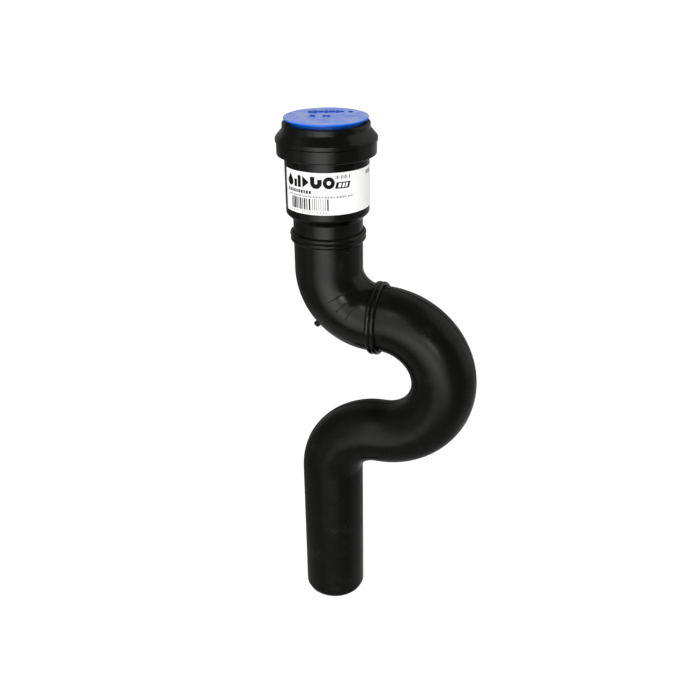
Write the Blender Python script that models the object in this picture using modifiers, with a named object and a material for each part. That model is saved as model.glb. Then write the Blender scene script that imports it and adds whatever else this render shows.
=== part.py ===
"""In-line trap for a 50 mm polyethylene waste pipe.

A ring-seal socket, a quarter bend and a trap bend are butt-fused one after the other, so
the inlet socket and the outlet spigot share one axis and the U bend stands to one side.
A plug closes the socket's mouth and lifts straight out.

Frame: metres, +Z up along the socket's axis, origin at the centre of the spigot's end
face, every bend in the XZ plane and the U bend towards +X.
"""

import math

import bpy
from mathutils import Vector

# Pipe that all three mouldings are made to
PIPE_OUTER_RADIUS = 0.025
PIPE_WALL = 0.003

# The elbow and the socket's stub are moulded a little thicker outside than the pipe
FITTING_EXTRA_WALL = 0.0007

# Centreline of the trap bend, from the spigot's end to its weld
OUTLET_LEG = 0.123
OUTLET_BEND_RADIUS = 0.041
OUTLET_BEND_RUN = 0.001
U_BEND_RADIUS = 0.0496
TRAP_WELD_RUN = 0.0027
SPIGOT_CHAMFER_HEIGHT = 0.003
SPIGOT_CHAMFER_DEPTH = 0.0015

# Centreline of the inlet elbow, from its trap weld to its socket weld
ELBOW_OUTLET_RUN = 0.0018
ELBOW_RADIUS = 0.0375
ELBOW_INLET_RUN = 0.0258
GATE_STUB_RADIUS = 0.0023
GATE_STUB_HEIGHT = 0.0036
GATE_STUB_BEND_ANGLE = 225.0
GATE_STUB_SIDE_ANGLE = -14.0

# Butt welds: two outer rolls, a fused web through the wall, and a low inner bead
WELD_ROLL_RADIUS = 0.0019
WELD_ROLL_HEIGHT = 0.003
WELD_ROLL_SPACING = 0.0035
WELD_WEB = 0.0012
WELD_FOOT_GAP = 0.0005
WELD_INNER_BEAD = 0.0012
WELD_INNER_WIDTH = 0.005

# Socket body
SOCKET_STUB = 0.0135
SOCKET_SHOULDER = 0.0045
SOCKET_BODY_HEIGHT = 0.0421
SOCKET_WALL = 0.0051
PIPE_CLEARANCE = 0.0004
PIPE_STOP_RISE = 0.0005
COLLAR_HEIGHT = 0.0089
COLLAR_WALL = 0.0048
COLLAR_EDGE_RADIUS = 0.0008
GROOVE_FLOOR = 0.0017
GROOVE_DEPTH = 0.0056
RIM_HEIGHT = 0.0033
RIM_WALL = 0.0022

# Retaining cap that snaps over the collar's rim and closes the seal groove
CAP_SKIRT_WALL = 0.003
CAP_BAND_HEIGHT = 0.0028
CAP_CONE_HEIGHT = 0.0061
MOUTH_CLEARANCE = 0.001
MOUTH_CHAMFER = 0.0008
LIP_HEIGHT = 0.0042
LIP_WALL = 0.00535
LIP_EDGE_RADIUS = 0.001

# Lip seal
SEAL_SQUEEZE = 0.001
SEAL_HEEL_WALL = 0.0035
SEAL_LIP_THICKNESS = 0.0013

# Protective plug
PLUG_FLANGE_INSET = 0.0013
PLUG_STANDOFF = 0.0024
PLUG_FLANGE_HEIGHT = 0.0012
PLUG_FLANGE_CHAMFER = 0.0004
PLUG_NECK_DEPTH = 0.0093
PLUG_TAPER_HEIGHT = 0.0035
PLUG_SKIRT_DEPTH = 0.014
PLUG_WALL = 0.0015

# Paper label on the socket body
LABEL_HEIGHT = 0.030
LABEL_RISE = 0.0055
LABEL_START_ANGLE = -138.5
LABEL_SWEEP = 203.5
LABEL_THICKNESS = 0.0002

# Gap kept between pieces that touch
TOUCH_GAP = 0.0003

# Fineness of the round shapes
SIDES = 32
BEND_STEPS_PER_QUARTER = 8
EDGE_STEPS = 3
ROLL_STEPS = 5
MERGE_DISTANCE = 0.00005

# Radii worked out from the sizes above
PIPE_BORE_RADIUS = PIPE_OUTER_RADIUS - PIPE_WALL
FITTING_OUTER_RADIUS = PIPE_OUTER_RADIUS + FITTING_EXTRA_WALL
SOCKET_BORE_RADIUS = PIPE_OUTER_RADIUS + PIPE_CLEARANCE
SOCKET_RADIUS = SOCKET_BORE_RADIUS + SOCKET_WALL
GROOVE_RADIUS = SOCKET_BORE_RADIUS + GROOVE_DEPTH
COLLAR_RADIUS = GROOVE_RADIUS + COLLAR_WALL
RIM_RADIUS = GROOVE_RADIUS + RIM_WALL
CAP_SKIRT_RADIUS = RIM_RADIUS + TOUCH_GAP
CAP_RADIUS = CAP_SKIRT_RADIUS + CAP_SKIRT_WALL
MOUTH_RADIUS = PIPE_OUTER_RADIUS + MOUTH_CLEARANCE
LIP_RADIUS = MOUTH_RADIUS + LIP_WALL
SEAL_OUTER_RADIUS = GROOVE_RADIUS - TOUCH_GAP
SEAL_LIP_RADIUS = PIPE_OUTER_RADIUS - SEAL_SQUEEZE
PLUG_FLANGE_RADIUS = LIP_RADIUS - PLUG_FLANGE_INSET
PLUG_NECK_RADIUS = MOUTH_RADIUS - TOUCH_GAP
PLUG_SKIRT_RADIUS = SEAL_LIP_RADIUS - TOUCH_GAP

# Places along the centreline
LOWER_ARM_Z = OUTLET_LEG + OUTLET_BEND_RADIUS
U_BEND_X = OUTLET_BEND_RADIUS + OUTLET_BEND_RUN
U_BEND_Z = LOWER_ARM_Z + U_BEND_RADIUS
UPPER_ARM_Z = U_BEND_Z + U_BEND_RADIUS
TRAP_WELD_X = U_BEND_X - TRAP_WELD_RUN
ELBOW_BEND_X = TRAP_WELD_X - ELBOW_OUTLET_RUN
ELBOW_BEND_Z = UPPER_ARM_Z + ELBOW_RADIUS
SOCKET_X = ELBOW_BEND_X - ELBOW_RADIUS
SOCKET_WELD_Z = ELBOW_BEND_Z + ELBOW_INLET_RUN
PIPE_END_GAP = WELD_WEB / 2 + TOUCH_GAP

# Heights up the socket
SHOULDER_Z = SOCKET_WELD_Z + SOCKET_STUB
BODY_Z = SHOULDER_Z + SOCKET_SHOULDER
PIPE_STOP_Z = BODY_Z + PIPE_STOP_RISE
COLLAR_Z = BODY_Z + SOCKET_BODY_HEIGHT
GROOVE_Z = COLLAR_Z + GROOVE_FLOOR
STEP_Z = COLLAR_Z + COLLAR_HEIGHT
RIM_Z = STEP_Z + RIM_HEIGHT
CAP_Z = STEP_Z + TOUCH_GAP
CAP_BAND_Z = CAP_Z + CAP_BAND_HEIGHT
CAP_WEB_Z = RIM_Z + TOUCH_GAP
CAP_CONE_Z = CAP_BAND_Z + CAP_CONE_HEIGHT
LIP_Z = CAP_CONE_Z + LIP_HEIGHT
SEAL_BOTTOM_Z = GROOVE_Z + TOUCH_GAP
SEAL_TOP_Z = CAP_WEB_Z - TOUCH_GAP
PLUG_FLANGE_Z = LIP_Z + PLUG_STANDOFF
PLUG_TOP_Z = PLUG_FLANGE_Z + PLUG_FLANGE_HEIGHT


def clear_scene():
    for obj in list(bpy.data.objects):
        bpy.data.objects.remove(obj, do_unlink=True)


def new_collection(name, helper=False):
    collection = bpy.data.collections.new(name)
    collection.hide_render = helper
    bpy.context.scene.collection.children.link(collection)
    return collection


def new_material(name, colour, roughness, metallic=0.0):
    """A Principled material; colour is linear red, green and blue."""
    material = bpy.data.materials.new(name)
    material.use_nodes = True
    shader = material.node_tree.nodes["Principled BSDF"]
    shader.inputs["Base Color"].default_value = (*colour, 1.0)
    shader.inputs["Roughness"].default_value = roughness
    shader.inputs["Metallic"].default_value = metallic
    return material


def link_mesh(name, mesh, collection, material=None):
    obj = bpy.data.objects.new(name, mesh)
    collection.objects.link(obj)
    if material:
        mesh.materials.append(material)
    return obj


def arc(centre, radius, start, end, steps):
    """Points on a circle from one angle to another, in degrees, both ends included."""
    points = []
    for step in range(steps + 1):
        angle = math.radians(start + (end - start) * step / steps)
        points.append((centre[0] + radius * math.cos(angle), centre[1] + radius * math.sin(angle)))
    return points


def bend(centre, radius, start, end):
    """Centreline points of a bend in the XZ plane."""
    steps = round(BEND_STEPS_PER_QUARTER * abs(end - start) / 90)
    return arc(centre, radius, start, end, steps)


def screw(obj, angle=2 * math.pi, steps=SIDES):
    modifier = obj.modifiers.new("Screw", "SCREW")
    modifier.angle = angle
    modifier.steps = steps
    modifier.render_steps = steps
    modifier.use_merge_vertices = True
    modifier.merge_threshold = MERGE_DISTANCE
    modifier.use_smooth_shade = True


def profile_mesh(name, profile, closed):
    """A profile of (radius, height) points at +X, which runs down its outer side."""
    mesh = bpy.data.meshes.new(name)
    edges = [(i, i + 1) for i in range(len(profile) - 1)]
    if closed:
        edges.append((len(profile) - 1, 0))
    mesh.from_pydata([(radius, 0.0, height) for radius, height in profile], edges, [])
    return mesh


def turned(name, profile, collection, material, closed=True):
    """A round piece turned about its own Z axis."""
    obj = link_mesh(name, profile_mesh(name, profile, closed), collection, material)
    screw(obj)
    return obj


def tube(name, path, radius, collection, material=None):
    """A solid round bar along a path of (x, z) or (x, z, radius scale) points."""
    curve = bpy.data.curves.new(name, "CURVE")
    curve.dimensions = "3D"
    curve.bevel_depth = radius
    curve.bevel_resolution = SIDES // 2 - 2
    curve.use_fill_caps = True
    spline = curve.splines.new("POLY")
    spline.points.add(len(path) - 1)
    for point, place in zip(spline.points, path):
        point.co = (place[0], 0.0, place[1], 1.0)
        point.radius = place[2] if len(place) > 2 else 1.0
    guide = bpy.data.objects.new(name + "_path", curve)
    collection.objects.link(guide)
    return meshed(guide, name, collection, material)


def meshed(guide, name, collection, material):
    """The mesh of a curve object, with its caps welded on; the curve is removed."""
    bpy.context.view_layer.update()
    evaluated = guide.evaluated_get(bpy.context.evaluated_depsgraph_get())
    mesh = bpy.data.meshes.new_from_object(evaluated)
    mesh.name = name
    mesh.materials.clear()
    obj = link_mesh(name, mesh, collection, material)
    obj.matrix_world = guide.matrix_world
    curve = guide.data
    bpy.data.objects.remove(guide, do_unlink=True)
    bpy.data.curves.remove(curve)
    weld = obj.modifiers.new("Weld", "WELD")
    weld.merge_threshold = MERGE_DISTANCE
    mesh.shade_smooth()
    mesh.set_sharp_from_angle(angle=math.radians(40))
    return obj


def combine(obj, other, operation):
    """A Boolean with a helper object, which stays as a wire guide."""
    other.hide_render = True
    other.display_type = "WIRE"
    modifier = obj.modifiers.new(operation.title(), "BOOLEAN")
    modifier.operation = operation
    modifier.solver = "EXACT"
    modifier.object = other


def past_end(path, overshoot):
    """The path with both of its ends drawn out along the way they point."""
    first, second = Vector(path[0]), Vector(path[1])
    last, before = Vector(path[-1]), Vector(path[-2])
    start = first + (first - second).normalized() * overshoot
    end = last + (last - before).normalized() * overshoot
    return [tuple(start)] + list(path[1:-1]) + [tuple(end)]


def pipe(name, path, outer_path, outer_radius, collection, cutters, material):
    """A bent pipe: a solid bar of the outer size, bored along the same path."""
    obj = tube(name, outer_path, outer_radius, collection, material)
    overshoot = 2 * PIPE_WALL
    bore = tube(name + "_bore", past_end(path, overshoot), PIPE_BORE_RADIUS, cutters)
    return obj, bore


def trap_bend(collection, cutters, material):
    """Spigot leg, quarter bend and U bend, moulded in one."""
    path = [(0.0, 0.0), (0.0, SPIGOT_CHAMFER_HEIGHT)]
    path += bend((OUTLET_BEND_RADIUS, OUTLET_LEG), OUTLET_BEND_RADIUS, 180, 90)
    path += bend((U_BEND_X, U_BEND_Z), U_BEND_RADIUS, -90, 90)
    path += [(TRAP_WELD_X + PIPE_END_GAP, UPPER_ARM_Z)]
    chamfered = (0.0, 0.0, 1 - SPIGOT_CHAMFER_DEPTH / PIPE_OUTER_RADIUS)
    outer_path = [chamfered] + path[1:]
    obj, bore = pipe(
        "trap_bend", path, outer_path, PIPE_OUTER_RADIUS, collection, cutters, material
    )
    combine(obj, bore, "DIFFERENCE")


def gate_stub(collection):
    """What is left of the moulding's sprue: a short peg on the outside of the elbow."""
    bend_angle = math.radians(GATE_STUB_BEND_ANGLE)
    side_angle = math.radians(GATE_STUB_SIDE_ANGLE)
    outwards = Vector((math.cos(bend_angle), 0.0, math.sin(bend_angle)))
    axis = outwards * math.cos(side_angle) + Vector((0.0, math.sin(side_angle), 0.0))
    centreline = Vector((ELBOW_BEND_X, 0.0, ELBOW_BEND_Z)) + outwards * ELBOW_RADIUS
    root = FITTING_OUTER_RADIUS - PIPE_WALL / 2
    length = GATE_STUB_HEIGHT + PIPE_WALL / 2
    bpy.ops.mesh.primitive_cylinder_add(
        vertices=SIDES // 2,
        radius=GATE_STUB_RADIUS,
        depth=length,
        location=centreline + axis * (root + length / 2),
        rotation=axis.to_track_quat("Z", "Y").to_euler(),
    )
    stub = bpy.context.active_object
    stub.name = "gate_stub"
    for owner in list(stub.users_collection):
        owner.objects.unlink(stub)
    collection.objects.link(stub)
    return stub


def inlet_elbow(collection, cutters, material):
    """Quarter bend from the trap's weld up to the socket's weld."""
    path = [(TRAP_WELD_X - PIPE_END_GAP, UPPER_ARM_Z)]
    path += bend((ELBOW_BEND_X, ELBOW_BEND_Z), ELBOW_RADIUS, 270, 180)
    path += [(SOCKET_X, SOCKET_WELD_Z - PIPE_END_GAP)]
    obj, bore = pipe(
        "inlet_elbow", path, path, FITTING_OUTER_RADIUS, collection, cutters, material
    )
    combine(obj, gate_stub(cutters), "UNION")
    combine(obj, bore, "DIFFERENCE")


def weld_half(outer_radius):
    """Half a weld's section, above the fused plane, for a pipe of one outer radius."""
    roll_centre = PIPE_OUTER_RADIUS + WELD_ROLL_HEIGHT - WELD_ROLL_RADIUS
    half_spacing = WELD_ROLL_SPACING / 2
    foot = outer_radius + WELD_FOOT_GAP
    valley_angle = -math.degrees(math.asin(half_spacing / WELD_ROLL_RADIUS))
    foot_angle = math.degrees(math.acos((foot - roll_centre) / WELD_ROLL_RADIUS))
    inner = PIPE_BORE_RADIUS - TOUCH_GAP
    return [
        (inner - WELD_INNER_BEAD, WELD_INNER_WIDTH / 4),
        (inner, WELD_INNER_WIDTH / 2),
        (inner, WELD_WEB / 2),
        (foot, WELD_WEB / 2),
    ] + arc((roll_centre, half_spacing), WELD_ROLL_RADIUS, foot_angle, valley_angle, ROLL_STEPS)


def weld_profile(radius_above, radius_below):
    """A weld's section between two pipes, which meet at the fused plane, height 0."""
    below = [(radius, -height) for radius, height in reversed(weld_half(radius_below)[:-1])]
    return weld_half(radius_above) + below


def butt_welds(collection, material):
    between_fittings = weld_profile(FITTING_OUTER_RADIUS, FITTING_OUTER_RADIUS)
    socket_weld = turned("socket_weld", between_fittings, collection, material)
    socket_weld.location = (SOCKET_X, 0.0, SOCKET_WELD_Z)
    # Turned on its side below, so that above is the trap's side and below the elbow's.
    pipe_to_fitting = weld_profile(PIPE_OUTER_RADIUS, FITTING_OUTER_RADIUS)
    trap_weld = turned("trap_weld", pipe_to_fitting, collection, material)
    trap_weld.location = (TRAP_WELD_X, 0.0, UPPER_ARM_Z)
    trap_weld.rotation_euler = (0.0, math.radians(90), 0.0)


def socket_body(collection, material):
    """Stub, shoulder and body with the pipe stop inside, and the collar round the seal groove."""
    edge = COLLAR_EDGE_RADIUS
    edge_centre = (COLLAR_RADIUS - edge, COLLAR_Z + edge)
    profile = [(RIM_RADIUS, RIM_Z), (RIM_RADIUS, STEP_Z), (COLLAR_RADIUS, STEP_Z)]
    profile += arc(edge_centre, edge, 0, -90, EDGE_STEPS)
    profile += [
        (SOCKET_RADIUS, COLLAR_Z),
        (SOCKET_RADIUS, BODY_Z),
        (FITTING_OUTER_RADIUS, SHOULDER_Z),
        (FITTING_OUTER_RADIUS, SOCKET_WELD_Z + PIPE_END_GAP),
        (PIPE_BORE_RADIUS, SOCKET_WELD_Z + PIPE_END_GAP),
        (PIPE_BORE_RADIUS, PIPE_STOP_Z),
        (SOCKET_BORE_RADIUS, PIPE_STOP_Z),
        (SOCKET_BORE_RADIUS, GROOVE_Z),
        (GROOVE_RADIUS, GROOVE_Z),
        (GROOVE_RADIUS, RIM_Z),
    ]
    turned("socket_body", profile, collection, material).location.x = SOCKET_X


def seal_retaining_cap(collection, material):
    """Ring whose skirt laps the collar's rim, coned in to the lip round the mouth."""
    edge = LIP_EDGE_RADIUS
    profile = [(MOUTH_RADIUS + MOUTH_CHAMFER, LIP_Z)]
    profile += arc((LIP_RADIUS - edge, LIP_Z - edge), edge, 90, 0, EDGE_STEPS)
    profile += [
        (LIP_RADIUS, CAP_CONE_Z),
        (CAP_RADIUS, CAP_BAND_Z),
        (CAP_RADIUS, CAP_Z),
        (CAP_SKIRT_RADIUS, CAP_Z),
        (CAP_SKIRT_RADIUS, CAP_WEB_Z),
        (MOUTH_RADIUS, CAP_WEB_Z),
        (MOUTH_RADIUS, LIP_Z - MOUTH_CHAMFER),
    ]
    turned("seal_retaining_cap", profile, collection, material).location.x = SOCKET_X


def lip_seal(collection, material):
    """Rubber ring: a heel that fills the groove and a lip that slants down to the pipe."""
    heel = SEAL_OUTER_RADIUS - SEAL_HEEL_WALL
    height = SEAL_TOP_Z - SEAL_BOTTOM_Z
    profile = [
        (SEAL_OUTER_RADIUS, SEAL_TOP_Z),
        (SEAL_OUTER_RADIUS, SEAL_BOTTOM_Z),
        (heel, SEAL_BOTTOM_Z),
        (heel, SEAL_BOTTOM_Z + 0.45 * height),
        (SEAL_LIP_RADIUS, SEAL_BOTTOM_Z + 0.1 * height),
        (SEAL_LIP_RADIUS, SEAL_BOTTOM_Z + 0.1 * height + SEAL_LIP_THICKNESS),
        (MOUTH_RADIUS, SEAL_TOP_Z),
    ]
    turned("lip_seal", profile, collection, material).location.x = SOCKET_X


def protective_plug(collection, material):
    """Flanged cup, open downwards, whose skirt passes through the seal."""
    neck_z = PLUG_FLANGE_Z - PLUG_NECK_DEPTH
    taper_z = neck_z - PLUG_TAPER_HEIGHT
    skirt_z = taper_z - PLUG_SKIRT_DEPTH
    profile = [
        (0.0, PLUG_TOP_Z),
        (PLUG_FLANGE_RADIUS - PLUG_FLANGE_CHAMFER, PLUG_TOP_Z),
        (PLUG_FLANGE_RADIUS, PLUG_TOP_Z - PLUG_FLANGE_CHAMFER),
        (PLUG_FLANGE_RADIUS, PLUG_FLANGE_Z),
        (PLUG_NECK_RADIUS, PLUG_FLANGE_Z),
        (PLUG_NECK_RADIUS, neck_z),
        (PLUG_SKIRT_RADIUS, taper_z),
        (PLUG_SKIRT_RADIUS, skirt_z),
        (PLUG_SKIRT_RADIUS - PLUG_WALL, skirt_z),
        (PLUG_SKIRT_RADIUS - PLUG_WALL, taper_z),
        (PLUG_NECK_RADIUS - PLUG_WALL, neck_z),
        (PLUG_NECK_RADIUS - PLUG_WALL, PLUG_FLANGE_Z),
        (0.0, PLUG_FLANGE_Z),
    ]
    # Measured from the flange's underside, where the plug's own origin is.
    local = [(radius, height - PLUG_FLANGE_Z) for radius, height in profile]
    plug = turned("protective_plug", local, collection, material, closed=False)
    plug.location = (SOCKET_X, 0.0, PLUG_FLANGE_Z)


def label(collection, material):
    """Paper strip wrapped part of the way round the socket body."""
    radius = SOCKET_RADIUS + TOUCH_GAP
    bottom = BODY_Z + LABEL_RISE
    strip = profile_mesh("label", [(radius, bottom + LABEL_HEIGHT), (radius, bottom)], False)
    obj = link_mesh("label", strip, collection, material)
    screw(obj, math.radians(LABEL_SWEEP), round(SIDES * LABEL_SWEEP / 360))
    solidify = obj.modifiers.new("Solidify", "SOLIDIFY")
    solidify.thickness = LABEL_THICKNESS
    solidify.offset = 1.0
    obj.location.x = SOCKET_X
    obj.rotation_euler.z = math.radians(LABEL_START_ANGLE)


def main():
    clear_scene()
    parts = new_collection("in_line_trap")
    cutters = new_collection("cutters", helper=True)
    polyethylene = new_material("black_polyethylene", (0.010, 0.010, 0.011), 0.42)
    blue_plastic = new_material("blue_plug_plastic", (0.03, 0.16, 0.75), 0.4)
    rubber = new_material("seal_rubber", (0.012, 0.012, 0.012), 0.7)
    paper = new_material("label_paper", (0.85, 0.85, 0.86), 0.6)
    trap_bend(parts, cutters, polyethylene)
    inlet_elbow(parts, cutters, polyethylene.copy())
    butt_welds(parts, polyethylene.copy())
    socket_body(parts, polyethylene.copy())
    seal_retaining_cap(parts, polyethylene.copy())
    lip_seal(parts, rubber)
    protective_plug(parts, blue_plastic)
    label(parts, paper)


main()
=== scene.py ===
import math

import bmesh
import bpy
from mathutils import Matrix, Vector, noise


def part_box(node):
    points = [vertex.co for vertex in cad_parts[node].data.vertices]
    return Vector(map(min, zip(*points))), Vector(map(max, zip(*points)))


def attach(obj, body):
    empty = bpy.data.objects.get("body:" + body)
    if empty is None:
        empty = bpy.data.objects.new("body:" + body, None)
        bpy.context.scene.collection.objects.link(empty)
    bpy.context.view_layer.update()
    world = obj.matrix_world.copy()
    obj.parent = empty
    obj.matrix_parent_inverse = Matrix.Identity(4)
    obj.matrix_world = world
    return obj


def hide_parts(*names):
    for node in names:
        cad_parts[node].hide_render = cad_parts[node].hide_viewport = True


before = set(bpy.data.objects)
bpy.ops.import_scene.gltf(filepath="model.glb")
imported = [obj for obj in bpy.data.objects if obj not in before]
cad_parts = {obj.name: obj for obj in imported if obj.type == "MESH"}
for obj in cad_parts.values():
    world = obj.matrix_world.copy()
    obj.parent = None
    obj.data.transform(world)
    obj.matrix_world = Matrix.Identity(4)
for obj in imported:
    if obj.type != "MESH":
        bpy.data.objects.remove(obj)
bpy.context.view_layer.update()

# A push-fit drain trap in black polyethylene, with a blue protective plug in its socket.
# Every size below is in millimetres unless its name says otherwise.
MM = 0.001

# ---------------------------------------------------------------- sizes from the model


def corners(node):
    """The lowest and highest corner of a node of the model, in millimetres."""
    low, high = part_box(node)
    return Vector(low) / MM, Vector(high) / MM


TRAP_LOW, TRAP_HIGH = corners("trap_bend")
ELBOW_LOW, ELBOW_HIGH = corners("inlet_elbow")
SOCKET_LOW, SOCKET_HIGH = corners("socket_body")
CAP_LOW, CAP_HIGH = corners("seal_retaining_cap")
SEAL_LOW, SEAL_HIGH = corners("lip_seal")
PLUG_LOW, PLUG_HIGH = corners("protective_plug")
LABEL_LOW, LABEL_HIGH = corners("label")
TRAP_WELD_LOW, TRAP_WELD_HIGH = corners("trap_weld")
SOCKET_WELD_LOW, SOCKET_WELD_HIGH = corners("socket_weld")

# The three bends, measured to the middle of the pipe.
OUTLET_BEND_RADIUS = 41.0
U_BEND_RADIUS = 49.6
ELBOW_RADIUS = 37.5

PIPE_RADIUS = (TRAP_HIGH.y - TRAP_LOW.y) / 2
PIPE_BORE_RADIUS = PIPE_RADIUS - 3.0
FITTING_RADIUS = (ELBOW_HIGH.y - ELBOW_LOW.y) / 2
SOCKET_X = (SOCKET_LOW.x + SOCKET_HIGH.x) / 2
UPPER_ARM_Z = TRAP_HIGH.z - PIPE_RADIUS
LOWER_ARM_Z = UPPER_ARM_Z - 2 * U_BEND_RADIUS
U_BEND_X = TRAP_HIGH.x - PIPE_RADIUS - U_BEND_RADIUS
OUTLET_LEG = LOWER_ARM_Z - OUTLET_BEND_RADIUS - TRAP_LOW.z
OUTLET_BEND_RUN = U_BEND_X - SOCKET_X - OUTLET_BEND_RADIUS
TRAP_WELD_X = (TRAP_WELD_LOW.x + TRAP_WELD_HIGH.x) / 2
SOCKET_WELD_Z = (SOCKET_WELD_LOW.z + SOCKET_WELD_HIGH.z) / 2
ELBOW_BEND_X = SOCKET_X + ELBOW_RADIUS
ELBOW_BEND_Z = UPPER_ARM_Z + ELBOW_RADIUS
WELD_HALF_GAP = 0.9

SIDES = 144
LATHE_STEPS = 192

# ---------------------------------------------------------------- meshes


def add_piece(name, points, faces, material, smooth_angle=40.0):
    """Makes one mesh object from points in millimetres."""
    mesh = bpy.data.meshes.new(name)
    mesh.from_pydata([Vector(point) * MM for point in points], [], faces)
    mesh.materials.append(material)
    tidy = bmesh.new()
    tidy.from_mesh(mesh)
    bmesh.ops.recalc_face_normals(tidy, faces=tidy.faces)
    tidy.to_mesh(mesh)
    tidy.free()
    mesh.shade_smooth()
    mesh.set_sharp_from_angle(angle=math.radians(smooth_angle))
    piece = bpy.data.objects.new(name, mesh)
    bpy.context.scene.collection.objects.link(piece)
    return piece


def belongs(piece, body, slot, *nodes):
    """Hangs a piece on its body and hides the model's nodes that it stands for; slot, its finish, is not
    used.
    """
    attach(piece, body)
    if nodes:
        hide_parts(*nodes)


def smooth_step(low, high, value):
    """Rises softly from 0 at low to 1 at high."""
    share = min(1.0, max(0.0, (value - low) / (high - low)))
    return share * share * (3 - 2 * share)


def rounded(outline):
    """Rounds the corners of an outline of (across, up, corner radius)."""
    points = []
    for index, (across, up, radius) in enumerate(outline):
        corner = Vector((across, up))
        if radius <= 0:
            points.append(corner)
            continue
        back = (Vector(outline[index - 1][:2]) - corner).normalized()
        ahead = (Vector(outline[(index + 1) % len(outline)][:2]) - corner).normalized()
        half = back.angle(ahead) / 2
        centre = corner + (back + ahead).normalized() * radius / math.sin(half)
        first = corner + back * radius / math.tan(half) - centre
        last = corner + ahead * radius / math.tan(half) - centre
        turn = first.angle_signed(last)
        steps = max(2, math.ceil(abs(turn) / math.radians(15)))
        for step in range(steps + 1):
            spun = first.copy()
            spun.rotate(Matrix.Rotation(-turn * step / steps, 2))
            points.append(centre + spun)
    return points


def divided(points, reach=2.5, support=0.12, closed=True):
    """Adds points along the long straight runs of an outline, and one close to each end of them."""
    result = []
    count = len(points)
    for index, here in enumerate(points):
        result.append(here)
        if not closed and index == count - 1:
            break
        there = points[(index + 1) % count]
        length = (there - here).length
        if length < 4 * support:
            continue
        cuts = max(1, round(length / reach))
        shares = [support / length] + [cut / cuts for cut in range(1, cuts)] + [1 - support / length]
        result.extend(here.lerp(there, share) for share in shares)
    return result


def ring_faces(low, high, count):
    """The faces between two rings of points. low and high are where the rings begin."""
    faces = []
    for side in range(count):
        after = (side + 1) % count
        faces.append((low + side, low + after, high + after, high + side))
    return faces


def turned(name, outline, material, closed=True, shift=None):
    """Turns an outline of (radius, height) about the socket's axis. shift moves a point outwards."""
    points = []
    rings = []
    for radius, height in outline:
        if radius < 1e-6:
            rings.append([len(points)] * LATHE_STEPS)
            points.append((SOCKET_X, 0, height))
            continue
        rings.append(list(range(len(points), len(points) + LATHE_STEPS)))
        for step in range(LATHE_STEPS):
            angle = 2 * math.pi * step / LATHE_STEPS
            out = radius + (shift(radius, height, angle) if shift else 0)
            points.append((SOCKET_X + out * math.cos(angle), out * math.sin(angle), height))
    faces = []
    pairs = zip(rings, rings[1:] + rings[:1]) if closed else zip(rings, rings[1:])
    for ring, following in pairs:
        for step in range(LATHE_STEPS):
            after = (step + 1) % LATHE_STEPS
            around = [ring[step], ring[after], following[after], following[step]]
            corner_points = list(dict.fromkeys(around))
            if len(corner_points) > 2:
                faces.append(corner_points)
    return add_piece(name, points, faces, material)


class Path:
    """A flat run of straight lengths and bends in the XZ plane."""

    def __init__(self, start, heading):
        self.parts = []
        self.point = Vector(start)
        self.heading = math.radians(heading)
        self.length = 0.0

    def straight(self, length):
        self.parts.append((self.length, length, self.point.copy(), self.heading, 0.0))
        self.point += length * Vector((math.cos(self.heading), math.sin(self.heading)))
        self.length += length

    def bend(self, radius, turn):
        """Turns by an angle in degrees, positive to the left."""
        length = radius * math.radians(abs(turn))
        self.parts.append((self.length, length, self.point.copy(), self.heading, math.radians(turn)))
        side = math.copysign(1, turn)
        left = Vector((-math.sin(self.heading), math.cos(self.heading))) * side * radius
        centre = self.point + left
        self.heading += math.radians(turn)
        self.point = centre - Vector((-math.sin(self.heading), math.cos(self.heading))) * side * radius
        self.length += length

    def at(self, distance):
        """(centre, left hand normal) at a distance along the path, both in 3-D."""
        found = self.parts[0]
        for part in self.parts:
            if part[0] <= distance + 1e-9:
                found = part
        begun, length, point, heading, turn = found
        along = distance - begun
        if turn == 0:
            centre = point + along * Vector((math.cos(heading), math.sin(heading)))
        else:
            radius = length / abs(turn)
            side = math.copysign(1, turn)
            pivot = point + Vector((-math.sin(heading), math.cos(heading))) * side * radius
            heading += turn * along / length
            centre = pivot - Vector((-math.sin(heading), math.cos(heading))) * side * radius
        normal = Vector((-math.sin(heading), 0, math.cos(heading)))
        return Vector((centre.x, 0, centre.y)), normal


def section_angles(sides, line_half_width, radius):
    """Angles round a pipe, with closer ones at the two mould lines, at 0 and 180 degrees."""
    angles = [2 * math.pi * side / sides for side in range(sides)]
    for middle in (0.0, math.pi):
        for share in (0.35, 0.7, 1.0, 1.3, 2.0):
            offset = share * line_half_width / radius
            angles.extend([(middle + offset) % (2 * math.pi), (middle - offset) % (2 * math.pi)])
    angles.sort()
    kept = [angles[0]]
    for angle in angles[1:]:
        if angle - kept[-1] > 1e-4:
            kept.append(angle)
    return kept


def swept(name, path, loop, angles, material, relief):
    """A closed pipe wall. loop goes once round the wall as (distance, radius, outside)."""
    points = []
    for distance, radius, outside in loop:
        centre, normal = path.at(distance)
        for angle in angles:
            out = normal * math.cos(angle) + Vector((0, -math.sin(angle), 0))
            height = radius
            if outside:
                height += relief(distance, angle, centre + out * radius)
            points.append(centre + out * height)
    faces = []
    for ring in range(len(loop)):
        faces += ring_faces(ring * len(angles), (ring + 1) % len(loop) * len(angles), len(angles))
    return add_piece(name, points, faces, material)


def stations(length, reach, extra=()):
    """Distances along a pipe, evenly spaced, with extra ones where the surface has detail."""
    cuts = math.ceil(length / reach)
    found = [length * cut / cuts for cut in range(1, cuts)]
    found.extend(distance for distance in extra if 0 < distance < length)
    found.sort()
    kept = []
    for distance in found:
        if not kept or distance - kept[-1] > 0.05:
            kept.append(distance)
    return kept


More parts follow.
